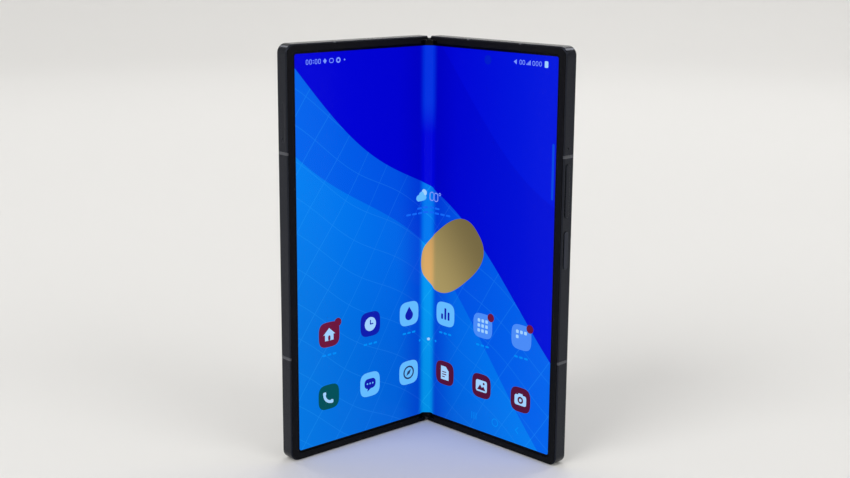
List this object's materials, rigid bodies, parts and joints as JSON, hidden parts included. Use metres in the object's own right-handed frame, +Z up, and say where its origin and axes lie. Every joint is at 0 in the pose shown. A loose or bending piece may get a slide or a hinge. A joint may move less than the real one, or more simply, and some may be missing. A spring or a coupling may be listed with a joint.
{
  "type": "foldable smartphone",
  "caption": "Book-style foldable phone: two thin halves on a geared free-stop spine hinge, a flexible inner screen, a cover screen and a camera island.",
  "frame": {"origin": "centre of the model's box at the height of the bottom edges it stands on, in the half-open rest pose", "axes": "+Z up along the spine; +X to the viewer's right; the inner screens face -Y and the spine is at +Y"},
  "size_m": [0.104, 0.0491, 0.1535],
  "materials": {
    "frame_metal": "anodised satin, dark navy",
    "spine_metal": "anodised satin, dark navy",
    "hinge_steel": "machined steel",
    "spring_steel": "ground spring steel",
    "gear_brass": "cut brass",
    "spine_plastic": "fine matt",
    "antenna_plastic": "fine matt, a shade off the metal",
    "screen_film": "glossy flexible screen, lit",
    "rim_rubber": "soft matt rim",
    "cover_glass": "black display glass",
    "cover_screen": "unlit display",
    "rear_glass": "etched satin glass over dark navy",
    "island_metal": "anodised satin",
    "lens_glass": "coated lens cover",
    "camera_black": "blackened",
    "flash_diffuser": "frosted diffuser",
    "battery_pouch": "wrapped pouch cell",
    "board_laminate": "solder-masked laminate",
    "shield_steel": "stamped tin-plated steel",
    "module_plastic": "moulded",
    "motor_steel": "drawn steel can",
    "magnet_nickel": "nickel-plated",
    "coil_copper": "enamelled copper winding",
    "flex_polyimide": "amber film"
  },
  "bodies": {
    "spine": {"hinge_cover": "spine_metal", "hinge_base_upper": "hinge_steel", "hinge_base_lower": "hinge_steel", "idler_pins": "hinge_steel", "friction_springs": "spring_steel", "hinge_screws": "hinge_steel", "spine_cap_top": "spine_plastic", "spine_cap_bottom": "spine_plastic", "screen_bend_zone": "screen_film", "hinge_ribbon": "flex_polyimide"},
    "left_half": {"left_frame": "frame_metal", "left_antenna_bands": "antenna_plastic", "left_screen_panel": "screen_film", "left_rim": "rim_rubber", "cover_glass": "cover_glass", "cover_screen_panel": "cover_screen", "cover_camera": "camera_black", "left_bracket_upper": "hinge_steel", "left_bracket_lower": "hinge_steel", "left_screws": "hinge_steel", "left_battery": "battery_pouch", "left_board": "board_laminate", "left_shield": "shield_steel", "earpiece_speaker": "module_plastic", "vibration_motor": "motor_steel", "left_magnets": "magnet_nickel", "card_reader": "shield_steel"},
    "right_half": {"right_frame": "frame_metal", "right_antenna_bands": "antenna_plastic", "right_screen_panel": "screen_film", "right_rim": "rim_rubber", "rear_glass": "rear_glass", "camera_island": "island_metal", "lens_rings": "island_metal", "lens_glasses": "lens_glass", "camera_modules": "camera_black", "flash_window": "flash_diffuser", "right_bracket_upper": "hinge_steel", "right_bracket_lower": "hinge_steel", "right_screws": "hinge_steel", "right_battery": "battery_pouch", "main_board": "board_laminate", "right_shield": "shield_steel", "charging_socket": "shield_steel", "loudspeaker": "module_plastic", "charging_coil": "coil_copper", "right_magnets": "magnet_nickel", "inner_camera": "camera_black", "key_switches": "flex_polyimide"},
    "left_arm": {"sync_arm_left_upper": "hinge_steel", "sync_arm_left_lower": "hinge_steel", "sync_gears_left": "gear_brass"},
    "right_arm": {"sync_arm_right_upper": "hinge_steel", "sync_arm_right_lower": "hinge_steel", "sync_gears_right": "gear_brass"},
    "left_idler": {"idler_gears_left": "gear_brass"},
    "right_idler": {"idler_gears_right": "gear_brass"},
    "volume_key": {"volume_key": "frame_metal"},
    "power_key": {"power_key": "frame_metal"},
    "card_tray": {"card_tray": "frame_metal"}
  },
  "joints": [
    {"name": "left_fold", "type": "hinge", "parent": "spine", "child": "left_half", "pos_m": [-0.00095, 0.02031, 0], "axis": [0, 0, 1], "range_deg": [-43, 47], "deforming": ["screen_bend_zone", "hinge_ribbon"]},
    {"name": "right_fold", "type": "hinge", "parent": "spine", "child": "right_half", "pos_m": [0.00095, 0.02031, 0], "axis": [0, 0, 1], "range_deg": [-47, 43]},
    {"name": "left_arm_turn", "type": "hinge", "parent": "spine", "child": "left_arm", "pos_m": [-0.0032, 0.02171, 0], "axis": [0, 0, 1], "range_deg": [-43, 47]},
    {"name": "right_arm_turn", "type": "hinge", "parent": "spine", "child": "right_arm", "pos_m": [0.0032, 0.02171, 0], "axis": [0, 0, 1], "range_deg": [-47, 43]},
    {"name": "left_idler_turn", "type": "hinge", "parent": "spine", "child": "left_idler", "pos_m": [-0.00107, 0.02171, 0], "axis": [0, 0, 1], "range_deg": [-47, 43]},
    {"name": "right_idler_turn", "type": "hinge", "parent": "spine", "child": "right_idler", "pos_m": [0.00107, 0.02171, 0], "axis": [0, 0, 1], "range_deg": [-43, 47]},
    {"name": "volume_key_press", "type": "slide", "parent": "right_half", "child": "volume_key", "axis": [-0.7314, 0.682, 0], "range_m": [0, 0.00025], "stiffness_N_per_m": 3000},
    {"name": "power_key_press", "type": "slide", "parent": "right_half", "child": "power_key", "axis": [-0.7314, 0.682, 0], "range_m": [0, 0.00025], "stiffness_N_per_m": 3000},
    {"name": "tray_slide", "type": "slide", "parent": "left_half", "child": "card_tray", "axis": [-0.7314, -0.682, 0], "range_m": [0, 0.012]}
  ],
  "couplings": [
    {"joint": "right_fold", "follows": "left_fold", "ratio": -1},
    {"joint": "left_arm_turn", "follows": "left_fold", "ratio": 1},
    {"joint": "right_arm_turn", "follows": "left_fold", "ratio": -1},
    {"joint": "left_idler_turn", "follows": "left_fold", "ratio": -1},
    {"joint": "right_idler_turn", "follows": "left_fold", "ratio": 1}
  ]
}
